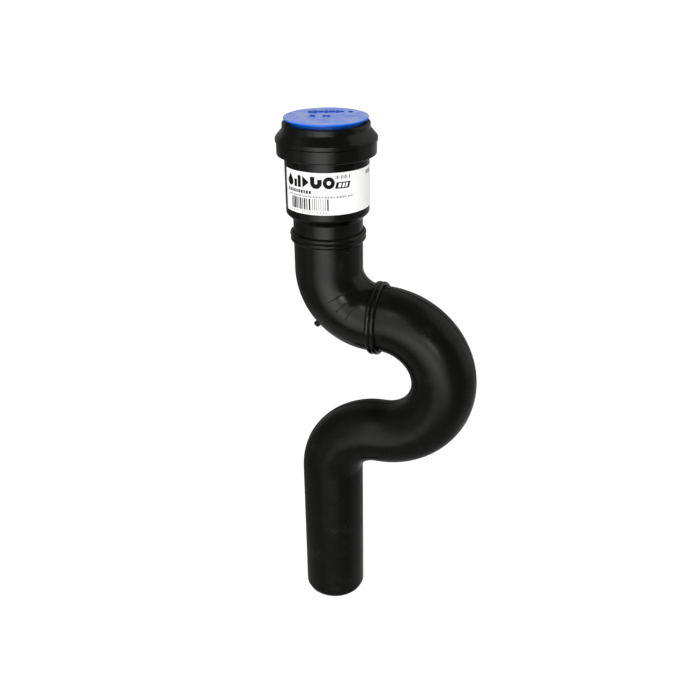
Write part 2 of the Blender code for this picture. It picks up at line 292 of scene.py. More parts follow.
def wall_loop(length, outer, start_end, finish_end, reach=2.5, extra=()):
    """The loop of a pipe wall: outside, far end, bore and near end.

    Each end is (how far it is chamfered along, how deep, edge radius)."""
    loop = []
    start_run, start_drop, start_edge = start_end
    finish_run, finish_drop, finish_edge = finish_end
    outline = rounded([
        (start_run, outer, start_edge),
        (length - finish_run, outer, finish_edge),
        (length, outer - finish_drop, finish_edge),
        (length, PIPE_BORE_RADIUS, 0.3),
        (0, PIPE_BORE_RADIUS, 0.3),
        (0, outer - start_drop, start_edge),
    ])
    for index, here in enumerate(outline):
        there = outline[(index + 1) % len(outline)]
        outside = here.y > PIPE_BORE_RADIUS + 1.0
        loop.append((here.x, here.y, outside))
        run = abs(there.x - here.x)
        if run > 3 * reach:
            marks = stations(length, reach if outside else 2 * reach, extra if outside else ())
            low = min(here.x, there.x) + 0.4
            high = max(here.x, there.x) - 0.4
            marks = [mark for mark in marks if low < mark < high]
            if there.x < here.x:
                marks.reverse()
            loop.extend((mark, here.y, outside) for mark in marks)
    return loop


# ---------------------------------------------------------------- materials


def set_inputs(tree, made, inputs):
    """Links a node's inputs to other nodes, or sets their values."""
    for key, value in inputs.items():
        if isinstance(value, bpy.types.NodeSocket):
            tree.links.new(value, made.inputs[key])
        else:
            made.inputs[key].default_value = value


def add_node(tree, kind, inputs=None, **settings):
    """Adds a node, makes its settings, and links or sets its inputs."""
    made = tree.nodes.new(kind)
    for key, value in settings.items():
        setattr(made, key, value)
    set_inputs(tree, made, inputs or {})
    return made


def colour(code):
    """An sRGB hex colour as linear values."""
    parts = [int(code[place:place + 2], 16) / 255 for place in (1, 3, 5)]
    linear = [part / 12.92 if part <= 0.04045 else ((part + 0.055) / 1.055) ** 2.4 for part in parts]
    return (*linear, 1.0)


def new_material(name):
    """A material with an empty tree, its surface shader and its object coordinates."""
    material = bpy.data.materials.new(name)
    material.use_nodes = True
    tree = material.node_tree
    tree.nodes.clear()
    shader = add_node(tree, "ShaderNodeBsdfPrincipled")
    add_node(tree, "ShaderNodeOutputMaterial", {"Surface": shader.outputs["BSDF"]})
    place = add_node(tree, "ShaderNodeTexCoord").outputs["Object"]
    return material, tree, shader, place


def per(size):
    """The texture scale that gives a pattern of a size in millimetres."""
    return 1 / (size * MM)


def noise_pattern(tree, place, size, detail, roughness=0.5):
    """A cloudy pattern with a size in millimetres."""
    inputs = {"Vector": place, "Scale": per(size), "Detail": detail, "Roughness": roughness}
    return add_node(tree, "ShaderNodeTexNoise", inputs).outputs["Fac"]


def mapped(tree, value, low, high, to_low=0.0, to_high=1.0, curve="LINEAR"):
    """Maps one range of values onto another, and stops at both ends."""
    inputs = {"Value": value, "From Min": low, "From Max": high, "To Min": to_low, "To Max": to_high}
    return add_node(tree, "ShaderNodeMapRange", inputs, interpolation_type=curve).outputs["Result"]


def combined(tree, operation, first, second):
    """Two values put together by an operation."""
    return add_node(tree, "ShaderNodeMath", {0: first, 1: second}, operation=operation).outputs["Value"]


def blended(tree, share, first, second):
    """A blend of two colours."""
    inputs = {"Factor": share, "A": colour(first), "B": colour(second)}
    return add_node(tree, "ShaderNodeMix", inputs, data_type="RGBA").outputs["Result"]


def bumped(tree, height, depth, below=None, strength=1.0):
    """A bump with a depth in millimetres, laid over the one below."""
    inputs = {"Height": height, "Strength": strength, "Distance": depth * MM}
    if below is not None:
        inputs["Normal"] = below
    return add_node(tree, "ShaderNodeBump", inputs).outputs["Normal"]


def moulded_polyethylene(name, base, polish, gloss, grain_depth):
    """PE-HD with carbon black, moulded: deep black, satin, with a soft sheen and a faintly uneven skin.

    The melt shrinks as it cools, which leaves slow waves, and the mould gives a fine grain.
    Handling leaves pale rub marks and short scratches."""
    material, tree, shader, place = new_material(name)
    stretched = add_node(
        tree, "ShaderNodeMapping",
        {"Vector": place, "Rotation": (0.4, 0.9, 0.3), "Scale": (1.0, 9.0, 1.0)},
    )
    rub = noise_pattern(tree, place, 22.0, 6.0, 0.62)
    scratches = noise_pattern(tree, stretched.outputs["Vector"], 9.0, 5.0, 0.7)
    rubbed = mapped(tree, rub, 0.52, 0.78, 0.0, 0.55, "SMOOTHSTEP")
    scratched = mapped(tree, scratches, 0.69, 0.76, 0.0, 0.8)
    worn = combined(tree, "MAXIMUM", rubbed, scratched)
    waves = bumped(tree, noise_pattern(tree, place, 9.0, 2.0), 0.09)
    set_inputs(tree, shader, {
        "IOR": 1.52,
        "Specular IOR Level": gloss,
        "Base Color": blended(tree, worn, base, "#1e1e1d"),
        "Roughness": mapped(tree, worn, 0.0, 1.0, polish, polish + 0.12),
        "Normal": bumped(tree, noise_pattern(tree, place, 0.7, 3.0), grain_depth, waves),
    })
    return material


def moulded_rubber():
    """EPDM rubber, compression moulded: black, duller than the plastic, with a dusty bloom."""
    material, tree, shader, place = new_material("epdm_rubber_moulded")
    bloom = noise_pattern(tree, place, 4.0, 5.0)
    set_inputs(tree, shader, {
        "IOR": 1.5,
        "Specular IOR Level": 0.3,
        "Base Color": blended(tree, bloom, "#0d0d0e", "#1b1b1c"),
        "Roughness": mapped(tree, bloom, 0.0, 1.0, 0.5, 0.7),
        "Normal": bumped(tree, noise_pattern(tree, place, 0.5, 2.0), 0.02),
    })
    return material


def moulded_blue_plastic(name, deep, painted_sheen_colour):
    """Blue low density polyethylene, moulded: waxy and bright at the edges, textured on its flat top.

    The top was textured in the mould, so it is rougher than the rim. Its paler colour is a painted sheen:
    faces that point up get a pale tint that stands for the light they reflect."""
    material, tree, shader, place = new_material(name)
    facing = add_node(tree, "ShaderNodeNewGeometry")
    upward = add_node(tree, "ShaderNodeSeparateXYZ", {"Vector": facing.outputs["Normal"]})
    # Painted sheen: faces that point up are painted a paler, mottled tint, which stands for the light the
    # flat top reflects. The same mask also makes them rougher.
    painted_sheen_mask = mapped(tree, upward.outputs["Z"], 0.8, 0.98, curve="SMOOTHSTEP")
    mottled = mapped(tree, noise_pattern(tree, place, 8.0, 5.0, 0.65), 0.36, 0.62, 0.45, 1.0)
    share = combined(tree, "MULTIPLY", painted_sheen_mask, mottled)
    # Turning marks of the mould's flat face, 3 mm apart.
    rings = add_node(
        tree, "ShaderNodeTexWave",
        {
            "Vector": place, "Scale": 2 * math.pi * per(3.0) / 20,
            "Distortion": 1.2, "Detail": 2.0, "Detail Scale": 1.5,
        },
        wave_type="RINGS", rings_direction="Z",
    )
    turned_marks = bumped(tree, rings.outputs["Fac"], 0.03, strength=0.5)
    set_inputs(tree, shader, {
        "IOR": 1.51,
        "Specular IOR Level": 0.35,
        # Base colour: the deep blue, with the painted sheen's pale tint on faces that point up.
        "Base Color": blended(tree, share, deep, painted_sheen_colour),
        "Roughness": mapped(tree, share, 0.0, 1.0, 0.33, 0.6),
        "Normal": bumped(tree, noise_pattern(tree, place, 0.6, 2.0), 0.02, turned_marks),
    })
    return material


def coated_paper():
    """Coated white label paper: bright, smooth and half matt, with a very slight cockle."""
    material, tree, shader, place = new_material("coated_label_paper")
    fibre = noise_pattern(tree, place, 1.5, 4.0)
    set_inputs(tree, shader, {
        "IOR": 1.48,
        "Base Color": blended(tree, fibre, "#f3f3f2", "#fafaf9"),
        "Roughness": 0.5,
        "Normal": bumped(tree, noise_pattern(tree, place, 14.0, 1.0), 0.12),
    })
    return material


def transfer_ink(name, code):
    """Thermal transfer ink: a thin resin film with tiny gaps where the ribbon missed."""
    material, tree, shader, place = new_material(name)
    missed = mapped(tree, noise_pattern(tree, place, 0.5, 3.0), 0.6, 0.72, 0.0, 0.3)
    set_inputs(tree, shader, {
        "Specular IOR Level": 0.12,
        "Base Color": blended(tree, missed, code, "#8a8a88"),
        "Roughness": 0.45,
    })
    return material


TRAP_PLASTIC = moulded_polyethylene("polyethylene_trap_satin", "#0c0c0a", 0.27, 0.2, 0.01)
ELBOW_PLASTIC = moulded_polyethylene("polyethylene_elbow_smooth", "#0d0d0b", 0.21, 0.26, 0.005)
SOCKET_PLASTIC = moulded_polyethylene("polyethylene_socket_smooth", "#0d0d0b", 0.19, 0.25, 0.005)
WELD_PLASTIC = moulded_polyethylene("polyethylene_weld_melt", "#0d0d0b", 0.2, 0.28, 0.004)
SEAL_RUBBER = moulded_rubber()
# The plug: deep blue, with a pale lavender painted sheen on its top.
PLUG_PLASTIC = moulded_blue_plastic("blue_plastic_plug_moulded", "#126ae4", "#97a2c9")
# The raised marks: a darker copy of the same blue, painted shade where their rounded tops miss the sheen
# of the flat top.
MARK_PLASTIC = moulded_blue_plastic("blue_plastic_raised_marks", "#174fb0", "#1c48a6")
PAPER = coated_paper()
INK = transfer_ink("label_ink_black", "#060606")
PALE_INK = transfer_ink("label_ink_grey", "#6e6e6c")

# ---------------------------------------------------------------- the pipes

MOULD_LINE_HALF_WIDTH = 0.9
MOULD_LINE_DEPTH = 0.42
MOULD_LINE_LIP = 0.1
SKIN_WAVE = 0.06
PIPE_ANGLES = section_angles(SIDES, MOULD_LINE_HALF_WIDTH, PIPE_RADIUS)


def skin(point, seed):
    """Slow unevenness of moulded pipe, in millimetres."""
    return SKIN_WAVE * noise.noise(Vector(point) / 21.0 + Vector((seed, seed, seed)))


def mould_line(angle, start, distance):
    """The trimmed line where the mould halves met, which begins some way along a pipe.

    It is a fine groove with low lips."""
    away = abs(math.remainder(angle, math.pi))
    across = away * PIPE_RADIUS / MOULD_LINE_HALF_WIDTH
    if across >= 2:
        return 0.0
    uneven = 0.8 + 0.5 * noise.noise(Vector((distance / 7.0, 3.1, 0.5)))
    fade = smooth_step(start, start + 3, distance) * uneven
    groove = MOULD_LINE_DEPTH * (1 - across * across) ** 2 if across < 1 else 0.0
    lip = MOULD_LINE_LIP * smooth_step(0.6, 1.1, across) * (1 - smooth_step(1.3, 2.0, across))
    return fade * (lip - groove)


SPIGOT_LENGTH = 62.0


def trap_relief(distance, angle, point):
    return skin(point, 0.0) + mould_line(angle, SPIGOT_LENGTH, distance)


trap_path = Path((SOCKET_X, TRAP_LOW.z), 90)
trap_path.straight(OUTLET_LEG)
trap_path.bend(OUTLET_BEND_RADIUS, -90)
trap_path.straight(OUTLET_BEND_RUN)
trap_path.bend(U_BEND_RADIUS, 180)
trap_path.straight(U_BEND_X - TRAP_WELD_X - WELD_HALF_GAP)
trap = swept(
    "trap_bend_pipe", trap_path,
    wall_loop(trap_path.length, PIPE_RADIUS, (3.0, 1.5, 0.6), (0.3, 0.3, 0.1)),
    PIPE_ANGLES, TRAP_PLASTIC, trap_relief,
)
belongs(trap, "fitting", "black_polyethylene", "trap_bend")

# The elbow has three cut lines on its side, for lining it up with the bend. Each has its angle
# round the bend, and the angles round the pipe where it begins and ends.
CUT_LINE_ANGLES = ((212.0, 97, 126), (227.0, 96, 118), (242.0, 96, 118))
CUT_LINE_HALF_WIDTH = 0.42
CUT_LINE_DEPTH = 0.5
CUT_LINE_STATIONS = (-0.8, -0.55, -0.42, -0.21, 0, 0.21, 0.42, 0.55, 0.8)

elbow_path = Path((TRAP_WELD_X - WELD_HALF_GAP, UPPER_ARM_Z), 180)
elbow_path.straight(TRAP_WELD_X - WELD_HALF_GAP - ELBOW_BEND_X)
bend_starts = elbow_path.length
elbow_path.bend(ELBOW_RADIUS, -90)
elbow_path.straight(SOCKET_WELD_Z - WELD_HALF_GAP - ELBOW_BEND_Z)


def cut_line(distance, angle):
    """How deep the three cut lines are at a point of the elbow."""
    depth = 0.0
    from_centre = ELBOW_RADIUS + FITTING_RADIUS * math.cos(angle)
    for bend_angle, begins, ends in CUT_LINE_ANGLES:
        there = bend_starts + math.radians(270 - bend_angle) * ELBOW_RADIUS
        across = abs(distance - there) / ELBOW_RADIUS * from_centre / CUT_LINE_HALF_WIDTH
        if across < 1:
            along = math.degrees(angle)
            begun = smooth_step(begins - 1, begins + 2, along)
            ended = smooth_step(ends - 2, ends + 1, along)
            depth = max(depth, CUT_LINE_DEPTH * (1 - across ** 4) * begun * (1 - ended))
    return depth


def elbow_relief(distance, angle, point):
    return skin(point, 5.0) + mould_line(angle, -10, distance) - cut_line(distance, angle)


fine_stations = []
for bend_angle, begins, ends in CUT_LINE_ANGLES:
    middle = bend_starts + math.radians(270 - bend_angle) * ELBOW_RADIUS
    fine_stations.extend(middle + offset for offset in CUT_LINE_STATIONS)

elbow = swept(
    "elbow_pipe", elbow_path,
    wall_loop(elbow_path.length, FITTING_RADIUS, (0.3, 0.3, 0.1), (0.3, 0.3, 0.1), 1.6, fine_stations),
    PIPE_ANGLES, ELBOW_PLASTIC, elbow_relief,
)
belongs(elbow, "fitting", "black_polyethylene", "inlet_elbow")


DOME_ROWS = 5
DOME_SPOKES = 16
DOME_SINK = 0.4


def dome(points, faces, centre, out, radius, height):
    """Adds a small closed dome that stands on a surface."""
    side = out.orthogonal().normalized()
    other = out.cross(side)
    first = len(points)
    for row in range(DOME_ROWS):
        turn = math.pi / 2 * row / DOME_ROWS
        ring = radius * math.cos(turn)
        up = height * math.sin(turn) if row else -DOME_SINK
        for spoke in range(DOME_SPOKES):
            angle = 2 * math.pi * spoke / DOME_SPOKES
            spread = side * math.cos(angle) + other * math.sin(angle)
            points.append(centre + spread * ring + out * up)
    points.append(centre + out * height)
    for row in range(DOME_ROWS - 1):
        low = first + row * DOME_SPOKES
        faces += ring_faces(low, low + DOME_SPOKES, DOME_SPOKES)
    last = first + (DOME_ROWS - 1) * DOME_SPOKES
    top = last + DOME_SPOKES
    for spoke in range(DOME_SPOKES):
        faces.append((last + spoke, last + (spoke + 1) % DOME_SPOKES, top))
    faces.append([first + spoke for spoke in reversed(range(DOME_SPOKES))])


# Small raised dots on the elbow: (degrees round the pipe, height, radius, rise).
DOTS = (
    (-58.0, 315.0, 0.85, 0.85),
    (-38.0, 319.0, 1.0, 1.0),
    (-46.0, 314.6, 0.6, 0.35),
    (-50.0, 311.8, 0.6, 0.35),
)

dot_points = []
dot_faces = []
for around, height, radius, rise in DOTS:
    out = Vector((math.cos(math.radians(around)), math.sin(math.radians(around)), 0))
    foot = Vector((SOCKET_X, 0, height)) + out * (FITTING_RADIUS - 0.02)
    dome(dot_points, dot_faces, foot, out, radius, rise)
dots = add_piece("elbow_moulded_dots", dot_points, dot_faces, ELBOW_PLASTIC)
belongs(dots, "fitting", "black_polyethylene")

GATE_RADIUS = 2.5
GATE_HEIGHT = 4.0
GATE_EDGE = 0.95
GATE_BEND_ANGLE = 225.0
GATE_SIDE_ANGLE = 14.0
GATE_SPOKES = 32


def gate_profile():
    """Half of the stub's outline, from its flared foot in the wall to the dip in its end."""
    foot = [(GATE_RADIUS + 0.2, -0.5), (GATE_RADIUS + 0.15, 0.1), (GATE_RADIUS + 0.03, 0.4)]
    side = rounded([
        (GATE_RADIUS, -0.6, 0),
        (GATE_RADIUS - 0.1, GATE_HEIGHT - 0.1, GATE_EDGE),
        (0.0, GATE_HEIGHT, 0),
    ])
    dip = [(0.9, GATE_HEIGHT - 0.05), (0.4, GATE_HEIGHT - 0.3)]
    return foot + [(point.x, point.y) for point in side[1:-1]] + dip


def gate_stub():
    """What is left of the gate, where the melt ran into the mould: a short broken stub."""
    spin = math.radians(GATE_BEND_ANGLE)
    lean = math.radians(GATE_SIDE_ANGLE)
    outward = Vector((math.cos(spin), 0, math.sin(spin)))
    axis = outward * math.cos(lean) + Vector((0, -math.sin(lean), 0))
    centre = Vector((ELBOW_BEND_X, 0, ELBOW_BEND_Z)) + outward * ELBOW_RADIUS
    side = axis.orthogonal().normalized()
    other = axis.cross(side)
    profile = gate_profile()
    points = []
    for across, up in profile:
        for spoke in range(GATE_SPOKES):
            angle = 2 * math.pi * spoke / GATE_SPOKES
            flat = (across * math.cos(angle), across * math.sin(angle), 4.0)
            rough = 0.16 * noise.noise(Vector(flat)) if up > 3 else 0
            spread = side * math.cos(angle) + other * math.sin(angle)
            points.append(centre + axis * (FITTING_RADIUS + up + 2 * rough) + spread * (across + rough))
    faces = []
    for row in range(len(profile) - 1):
        faces += ring_faces(row * GATE_SPOKES, (row + 1) * GATE_SPOKES, GATE_SPOKES)
    faces.append([len(points) - GATE_SPOKES + spoke for spoke in range(GATE_SPOKES)])
    faces.append([spoke for spoke in reversed(range(GATE_SPOKES))])
    return add_piece("gate_stub", points, faces, ELBOW_PLASTIC)


belongs(gate_stub(), "fitting", "black_polyethylene")

# ---------------------------------------------------------------- the butt welds

ROLL_WIDTH = 1.85
ROLL_HEIGHT = 1.45
ROLL_OFFSET = 1.7
ROLL_SEAT = 0.08
ROLL_STEPS = 24


def roll_outline(side, growth):
    """One roll's outline as (along, radius). side is -1 or 1, and growth makes the roll fatter."""
    width = ROLL_WIDTH + growth / 2
    height = ROLL_HEIGHT + growth / 2
    middle = PIPE_RADIUS + ROLL_SEAT + height
    meet = math.degrees(math.acos(min(1.0, ROLL_OFFSET / width)))
    start, finish = (-95, 180 - meet) if side > 0 else (275, meet)
    turns = [math.radians(start + (finish - start) * step / ROLL_STEPS) for step in range(ROLL_STEPS + 1)]
    if side > 0:
        turns.reverse()
    return [
        (side * ROLL_OFFSET + width * math.cos(turn), middle + height * math.sin(turn))
        for turn in turns
    ]


def bead_outline():
    """The web between the pipe ends and the low bead inside the bore, as (along, radius)."""
    half = [
        (0.6, PIPE_RADIUS + 0.02),
        (0.6, PIPE_BORE_RADIUS - 0.02),
        (2.2, PIPE_BORE_RADIUS - 0.1),
        (2.4, PIPE_BORE_RADIUS - 0.5),
        (1.9, PIPE_BORE_RADIUS - 1.1),
        (0.9, PIPE_BORE_RADIUS - 1.3),
        (0.0, PIPE_BORE_RADIUS - 0.9),
    ]
    return half + [(-along, radius) for along, radius in reversed(half[:-1])]


def weld(name, centre, axis, across, node, first_growth, seed):
    """Two rolls of melt pressed out side by side, joined by a web between the pipe ends."""
    outline = roll_outline(-1, first_growth) + roll_outline(1, 0.0) + bead_outline()
    points = []
    for along, radius in outline:
        for step in range(LATHE_STEPS):
            angle = 2 * math.pi * step / LATHE_STEPS
            out = across * math.cos(angle) + axis.cross(across) * math.sin(angle)
            grow = 0.0
            if radius > PIPE_RADIUS + 0.5:
                roll_seed = seed + math.copysign(1, along)
                drift = noise.noise(Vector((2.2 * math.cos(angle), 2.2 * math.sin(angle), roll_seed)))
                grow = 0.16 * drift * (radius - PIPE_RADIUS) / 2
            points.append(centre + axis * along * (1 + 0.03 * grow) + out * (radius + grow))
    faces = []
    for ring in range(len(outline)):
        following = (ring + 1) % len(outline)
        faces += ring_faces(ring * LATHE_STEPS, following * LATHE_STEPS, LATHE_STEPS)
    belongs(add_piece(name, points, faces, WELD_PLASTIC, 50), "fitting", "black_polyethylene", node)


weld(
    "socket_weld_rolls", Vector((SOCKET_X, 0, SOCKET_WELD_Z)), Vector((0, 0, -1)), Vector((1, 0, 0)),
    "socket_weld", 0.15, 2.0,
)
weld(
    "trap_weld_rolls", Vector((TRAP_WELD_X, 0, UPPER_ARM_Z)), Vector((1, 0, 0)), Vector((0, 0, 1)),
    "trap_weld", 0.1, 9.0,
)

# ---------------------------------------------------------------- the socket

SOCKET_BORE = 25.4
SOCKET_WALL_RADIUS = 30.5
SHOULDER_FOOT_Z = SOCKET_WELD_Z + 13.5
SHOULDER_TOP_Z = SHOULDER_FOOT_Z + 4.5
PIPE_STOP_Z = SHOULDER_TOP_Z + 0.5
COLLAR_RADIUS = (SOCKET_HIGH.x - SOCKET_LOW.x) / 2
COLLAR_FOOT_Z = SOCKET_HIGH.z - 12.2
GROOVE_FLOOR_Z = SOCKET_HIGH.z - 10.5
COLLAR_TOP_Z = SOCKET_HIGH.z - 3.3
RIM_RADIUS = 33.2
GROOVE_RADIUS = 31.0


def socket_skin(radius, height, angle):
    point = Vector((radius * math.cos(angle), radius * math.sin(angle), height))
    return 0.6 * skin(point, 11.0) if radius > SOCKET_BORE + 1 or height < SHOULDER_FOOT_Z else 0.0


socket_outline = divided(rounded([
    (FITTING_RADIUS, SOCKET_LOW.z, 0.1),
    (FITTING_RADIUS, SHOULDER_FOOT_Z, 1.6),
    (SOCKET_WALL_RADIUS, SHOULDER_TOP_Z, 2.2),
    (SOCKET_WALL_RADIUS, COLLAR_FOOT_Z, 1.2),
    (COLLAR_RADIUS, COLLAR_FOOT_Z, 0.9),
    (COLLAR_RADIUS, COLLAR_TOP_Z, 0.35),
    (RIM_RADIUS, COLLAR_TOP_Z, 0.15),
    (RIM_RADIUS, SOCKET_HIGH.z, 0.3),
    (GROOVE_RADIUS, SOCKET_HIGH.z, 0.3),
    (GROOVE_RADIUS, GROOVE_FLOOR_Z, 0.3),
    (SOCKET_BORE, GROOVE_FLOOR_Z, 0.5),
    (SOCKET_BORE, PIPE_STOP_Z, 0.3),
    (PIPE_BORE_RADIUS, PIPE_STOP_Z, 0.5),
    (PIPE_BORE_RADIUS, SOCKET_LOW.z, 0.1),
]))
socket = turned("socket_moulding", socket_outline, SOCKET_PLASTIC, shift=socket_skin)
belongs(socket, "fitting", "black_polyethylene", "socket_body")

CAP_RADIUS = (CAP_HIGH.x - CAP_LOW.x) / 2
CAP_BAND_Z = CAP_LOW.z + 2.8
CAP_WEB_Z = CAP_LOW.z + 3.3
CAP_CONE_Z = CAP_LOW.z + 8.9
CAP_SKIRT_RADIUS = 33.5
CAP_MOUTH_RADIUS = 26.0
CAP_LIP_RADIUS = 31.35

cap_outline = divided(rounded([
    (CAP_RADIUS, CAP_LOW.z, 0.4),
    (CAP_RADIUS, CAP_BAND_Z, 0.9),
    (CAP_LIP_RADIUS, CAP_CONE_Z, 0.9),
    (CAP_LIP_RADIUS, CAP_HIGH.z, 1.0),
    (CAP_MOUTH_RADIUS, CAP_HIGH.z, 0.8),
    (CAP_MOUTH_RADIUS, CAP_WEB_Z, 0.4),
    (CAP_SKIRT_RADIUS, CAP_WEB_Z, 0.2),
    (CAP_SKIRT_RADIUS, CAP_LOW.z, 0.2),
]), 1.5)
cap = turned("seal_retaining_cap_moulding", cap_outline, SOCKET_PLASTIC)
belongs(cap, "fitting", "black_polyethylene", "seal_retaining_cap")

SEAL_RADIUS = (SEAL_HIGH.x - SEAL_LOW.x) / 2
SEAL_TOP_RADIUS = 28.4
SEAL_ROOT_RADIUS = 27.9
SEAL_LIP_RADIUS = 24.0
SEAL_FOOT_RADIUS = 27.4

seal_outline = divided(rounded([
    (SEAL_RADIUS, SEAL_LOW.z, 0.5),
    (SEAL_RADIUS, SEAL_HIGH.z, 0.5),
    (SEAL_TOP_RADIUS, SEAL_HIGH.z, 0.4),
    (SEAL_ROOT_RADIUS, SEAL_HIGH.z - 3.0, 0.8),
    (SEAL_LIP_RADIUS, SEAL_HIGH.z - 6.4, 0.5),
    (SEAL_LIP_RADIUS + 0.6, SEAL_LOW.z + 2.3, 0.4),
    (SEAL_FOOT_RADIUS, SEAL_LOW.z, 0.4),
]), 1.2, 0.08)
seal = turned("lip_seal_ring", seal_outline, SEAL_RUBBER)
belongs(seal, "fitting", "seal_rubber", "lip_seal")

# ---------------------------------------------------------------- the plug

FLANGE_RADIUS = (PLUG_HIGH.x - PLUG_LOW.x) / 2
FLANGE_FOOT_Z = PLUG_HIGH.z - 1.2
PLUG_NECK_RADIUS = 25.7
PLUG_SKIRT_RADIUS = 23.7
PLUG_WALL = 1.5
NECK_FOOT_Z = FLANGE_FOOT_Z - 9.3
TAPER_FOOT_Z = NECK_FOOT_Z - 3.5

plug_outline = rounded([
    (0.0, PLUG_HIGH.z, 0),
    (FLANGE_RADIUS, PLUG_HIGH.z, 0.4),
    (FLANGE_RADIUS, FLANGE_FOOT_Z, 0.35),
    (PLUG_NECK_RADIUS, FLANGE_FOOT_Z, 0.3),
    (PLUG_NECK_RADIUS, NECK_FOOT_Z, 0.6),
    (PLUG_SKIRT_RADIUS, TAPER_FOOT_Z, 0.8),
    (PLUG_SKIRT_RADIUS, PLUG_LOW.z, 0.5),
    (PLUG_SKIRT_RADIUS - PLUG_WALL, PLUG_LOW.z, 0.5),
    (PLUG_SKIRT_RADIUS - PLUG_WALL, TAPER_FOOT_Z, 0.8),
    (PLUG_NECK_RADIUS - PLUG_WALL, NECK_FOOT_Z, 0.6),
    (PLUG_NECK_RADIUS - PLUG_WALL, FLANGE_FOOT_Z + 0.1, 0.5),
    (0.0, FLANGE_FOOT_Z + 0.1, 0),
])
plug_outline = divided(plug_outline, 2.0, closed=False)
plug = turned("protective_plug_moulding", plug_outline, PLUG_PLASTIC, closed=False)
belongs(plug, "plug", "blue_plug_plastic", "protective_plug")

# Raised marks on the plug: plain bars, set square to the front.
MARK_TURN = math.radians(18.6)
MARK_RISE = 0.45
MARK_SINK = 0.3
MARK_BEVEL = 0.15


def add_prism(points, faces, outline, low, high, place):
    """Adds a closed prism. place turns (across, up, height) into a point."""
    first = len(points)
    count = len(outline)
    middle = sum(outline, Vector((0, 0))) / count
    for height, inset in ((low, 0.0), (high - MARK_BEVEL, 0.0), (high, MARK_BEVEL)):
        for corner in outline:
            inward = middle - corner
            inward = inward.normalized() * min(inset, inward.length * 0.3) if inward.length else inward
            points.append(place(corner.x + inward.x, corner.y + inward.y, height))
    faces += ring_faces(first, first + count, count)
    faces += ring_faces(first + count, first + 2 * count, count)
    faces.append([first + index for index in reversed(range(count))])
    faces.append([first + 2 * count + index for index in range(count)])


def bar(left, right, low, high, edge):
    """A rounded bar as an outline."""
    return rounded([(left, low, edge), (right, low, edge), (right, high, edge), (left, high, edge)])


def on_plug(across, away, height):
    """A place on the plug's top, across and away from the front."""
    return (
        SOCKET_X + across * math.cos(MARK_TURN) - away * math.sin(MARK_TURN),
        across * math.sin(MARK_TURN) + away * math.cos(MARK_TURN),
        height,
    )


# Each bar is (left, right, near side, far side), measured from the plug's middle.
PLUG_MARKS = (
    (-13.2, -9.3, 10.4, 16.0), (-8.9, -6.5, 9.2, 17.0), (-6.1, -1.5, 10.6, 16.2),
    (-1.1, 1.3, 9.2, 17.0), (1.7, 6.4, 10.6, 16.8), (6.8, 9.2, 9.4, 17.0), (9.6, 12.6, 11.0, 15.8),
    (-11.2, -7.6, -3.4, 2.2), (-2.2, -0.2, -4.4, 1.4), (0.8, 2.8, -4.4, 1.4), (15.6, 19.0, 10.6, 14.8),
)
mark_points = []
mark_faces = []
for left, right, low, high in PLUG_MARKS:
    outline = bar(left, right, low, high, min(right - left, high - low) * 0.45)
    add_prism(
        mark_points, mark_faces, outline,
        PLUG_HIGH.z - MARK_SINK, PLUG_HIGH.z + MARK_RISE, on_plug,
    )
# The marks' darker blue is painted shade, not a different plastic.
marks = add_piece("plug_raised_marks", mark_points, mark_faces, MARK_PLASTIC)
belongs(marks, "plug", "blue_plug_plastic")

# ---------------------------------------------------------------- the label

LABEL_INNER = SOCKET_WALL_RADIUS + 0.06
LABEL_OUTER = SOCKET_WALL_RADIUS + 0.17
LABEL_START = math.radians(-138.5)
LABEL_END = math.radians(65.0)
LABEL_LENGTH = (LABEL_END - LABEL_START) * LABEL_OUTER
LABEL_HEIGHT = LABEL_HIGH.z - LABEL_LOW.z
LABEL_LIFT = 0.5
DISC_SIDES = 20


def on_label(along, up, radius):
    """A place on the label: along from its left edge, up from its foot, out from the axis."""
    angle = LABEL_START + along / LABEL_OUTER
    return (SOCKET_X + radius * math.cos(angle), radius * math.sin(angle), LABEL_LOW.z + up)


def label_paper():
    """One closed sheet of paper wrapped round the socket, its far corner just lifting."""
    along_steps = 150
    up_steps = 20
    points = []
    for side in (0, 1):
        for along_step in range(along_steps + 1):
            along = LABEL_LENGTH * along_step / along_steps
            for up_step in range(up_steps + 1):
                up = LABEL_HEIGHT * up_step / up_steps
                far = smooth_step(LABEL_LENGTH - 7, LABEL_LENGTH, along)
                far *= smooth_step(LABEL_HEIGHT - 9, LABEL_HEIGHT, up)
                ripple = 0.02 * noise.noise(Vector((along / 9, up / 9, 1.7)))
                radius = (LABEL_OUTER if side else LABEL_INNER) + LABEL_LIFT * far * far + ripple
                points.append(on_label(along, up, radius))
    row = up_steps + 1
    sheet = row * (along_steps + 1)
    faces = []
    for side in (0, 1):
        for along_step in range(along_steps):
            for up_step in range(up_steps):
                first = side * sheet + along_step * row + up_step
                faces.append((first, first + row, first + row + 1, first + 1))
    rim = [step * row for step in range(along_steps + 1)]
    rim += [along_steps * row + step for step in range(1, up_steps + 1)]
    rim += [step * row + up_steps for step in reversed(range(along_steps))]
    rim += [step for step in reversed(range(1, up_steps))]
    for index, first in enumerate(rim):
        after = rim[(index + 1) % len(rim)]
        faces.append((first, after, after + sheet, first + sheet))
    return add_piece("label_sheet", points, faces, PAPER, 60)


belongs(label_paper(), "fitting", "label_paper", "label")

INK_LOW = LABEL_OUTER - 0.03
INK_HIGH = LABEL_OUTER + 0.045


